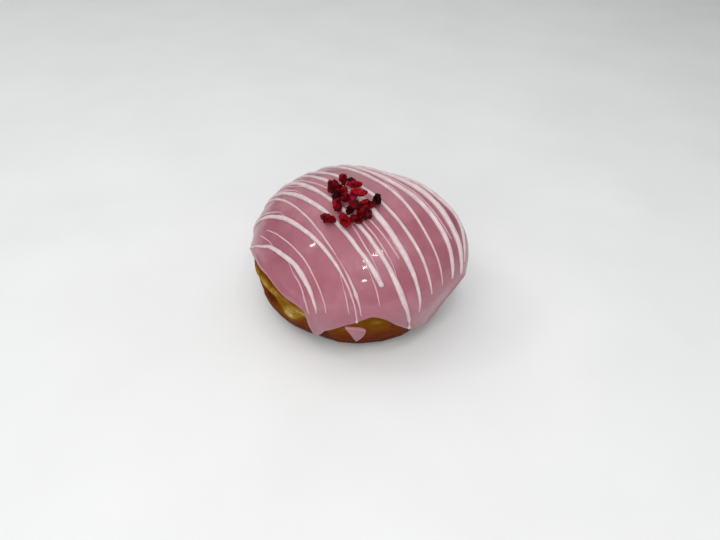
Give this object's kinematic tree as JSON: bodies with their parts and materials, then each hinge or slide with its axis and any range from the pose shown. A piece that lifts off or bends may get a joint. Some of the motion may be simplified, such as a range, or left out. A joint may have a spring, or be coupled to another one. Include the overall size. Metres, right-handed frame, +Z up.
{
  "type": "glazed bun doughnut",
  "caption": "Round yeast doughnut with no hole: domed bun on a flat foot, pink glaze running down its sides, thin white icing lines across the top and a small heap of raspberry crumbs.",
  "frame": {"origin": "on the surface the doughnut stands on, under the middle of its bounding box", "axes": "+Z up through the crown; the side with the low bay of bare dough and the hanging flap of glaze faces -Y; +X is to the right of that side and is the longest extent"},
  "size_m": [0.0896, 0.0822, 0.0624],
  "materials": {
    "dough": "matte",
    "glaze": "gloss",
    "icing": "satin",
    "raspberry": "matte"
  },
  "bodies": {
    "root": {"dough": "dough", "glaze": "glaze", "glaze_flap": "glaze", "icing_strand_a": "icing", "icing_strand_a_side": "icing", "icing_strand_a_thread": "icing", "icing_strand_b": "icing", "icing_strand_c": "icing", "icing_strand_c_tail": "icing", "icing_strand_c_left": "icing", "icing_strand_c_right": "icing", "icing_strand_d": "icing", "icing_strand_e": "icing", "icing_strand_e_tail": "icing", "icing_strand_e_thread": "icing", "icing_strand_e_drop": "icing", "icing_strand_f_tail": "icing", "icing_strand_f": "icing", "icing_strand_f_thread": "icing", "icing_strand_g": "icing", "icing_strand_h": "icing", "icing_strand_i": "icing", "icing_strand_j": "icing", "icing_strand_j_thread": "icing", "icing_strand_k": "icing", "icing_strand_k_thread": "icing", "icing_strand_l": "icing", "icing_strand_m": "icing", "raspberry_crumb_01": "raspberry", "raspberry_crumb_02": "raspberry", "raspberry_crumb_03": "raspberry", "raspberry_crumb_04": "raspberry", "raspberry_crumb_05": "raspberry", "raspberry_crumb_06": "raspberry", "raspberry_crumb_07": "raspberry", "raspberry_crumb_08": "raspberry", "raspberry_crumb_09": "raspberry", "raspberry_crumb_10": "raspberry", "raspberry_crumb_11": "raspberry", "raspberry_crumb_12": "raspberry", "raspberry_crumb_13": "raspberry", "raspberry_crumb_14": "raspberry", "raspberry_crumb_15": "raspberry", "raspberry_crumb_16": "raspberry", "raspberry_crumb_17": "raspberry", "raspberry_crumb_18": "raspberry"}
  },
  "joints": []
}
